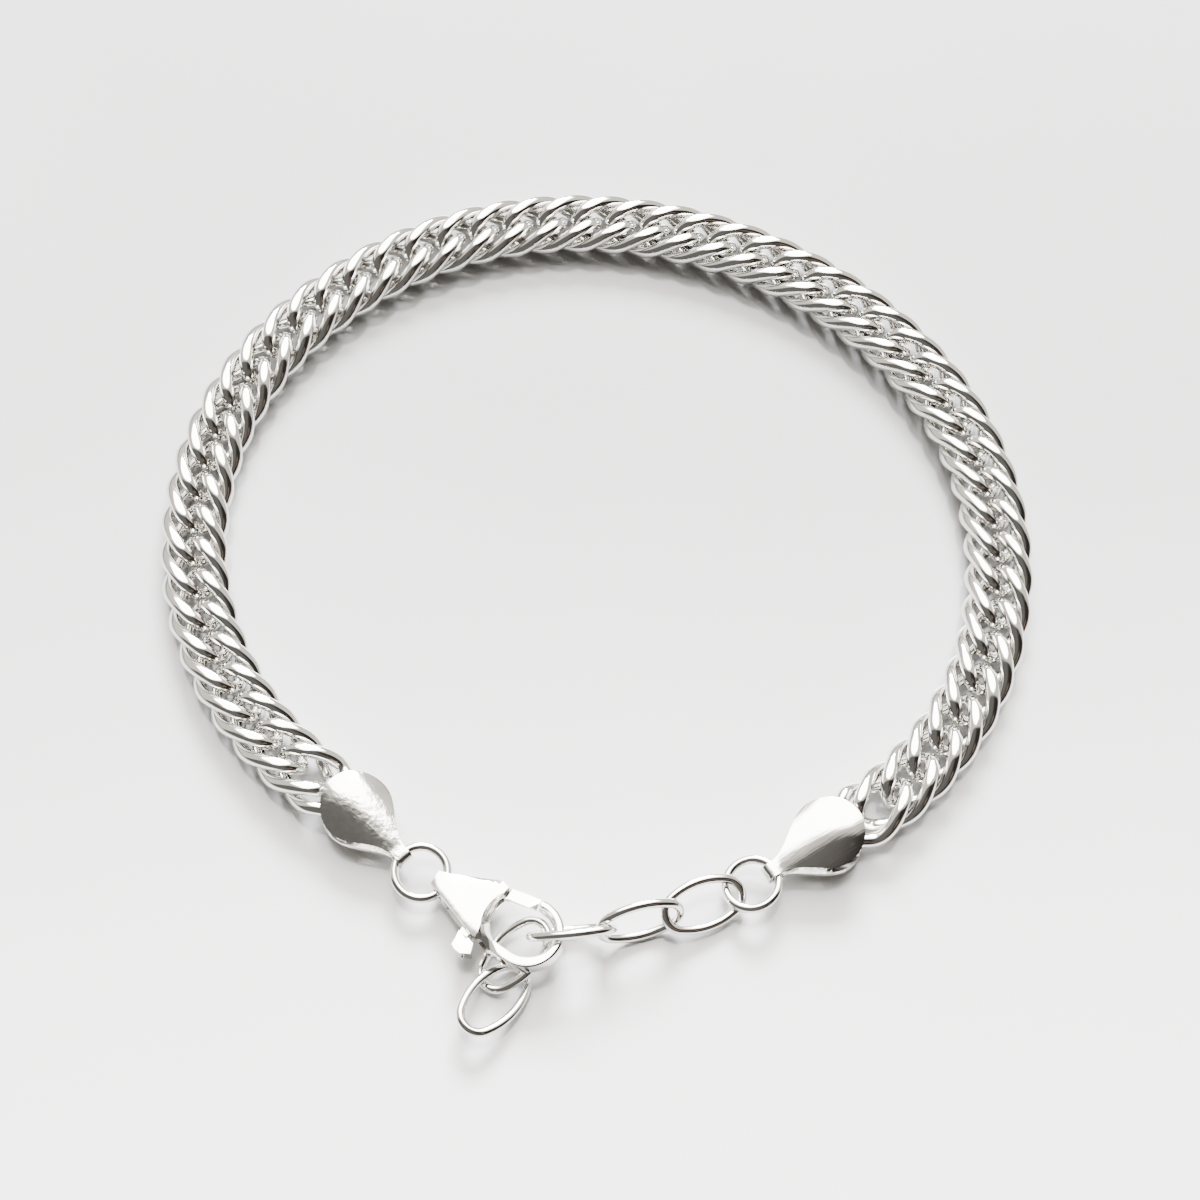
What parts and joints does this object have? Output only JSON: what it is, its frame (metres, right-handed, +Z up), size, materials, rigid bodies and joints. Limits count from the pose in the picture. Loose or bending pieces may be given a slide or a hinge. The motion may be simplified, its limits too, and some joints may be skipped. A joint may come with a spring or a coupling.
{
  "type": "link bracelet",
  "caption": "Double curb chain bracelet in bright metal, lying closed, with leaf-shaped folded end caps, a hooked clasp with a sprung lever and a short oval-link extension.",
  "frame": {"origin": "bottom centre of the bounding box of the closed bracelet as it lies", "axes": "+Z up; +Y from the clasp across the loop to the far side of the chain; +X from the end cap that carries the clasp to the end cap that carries the extension"},
  "size_m": [0.0738, 0.0776, 0.0044],
  "materials": {
    "silver": "polished silver"
  },
  "bodies": {
    "bracelet": {"curb_chain_left": "silver", "curb_chain_right": "silver", "end_cap_left": "silver", "end_cap_right": "silver", "clasp_ring": "silver", "clasp_body": "silver", "clasp_pin": "silver", "extension_ring": "silver", "extension_link_1": "silver", "extension_link_2": "silver", "extension_link_3": "silver", "extension_link_4": "silver", "extension_link_5": "silver"},
    "lever": {"clasp_lever": "silver"}
  },
  "joints": [
    {"name": "lever_pivot", "type": "hinge", "parent": "bracelet", "child": "lever", "pos_m": [-0.00792, -0.02703, 0.00195], "axis": [0.0882, -0.0562, -0.9945], "range_deg": [0, 12], "stiffness_Nm_per_rad": 0.0005, "springref_deg": -11.46}
  ]
}
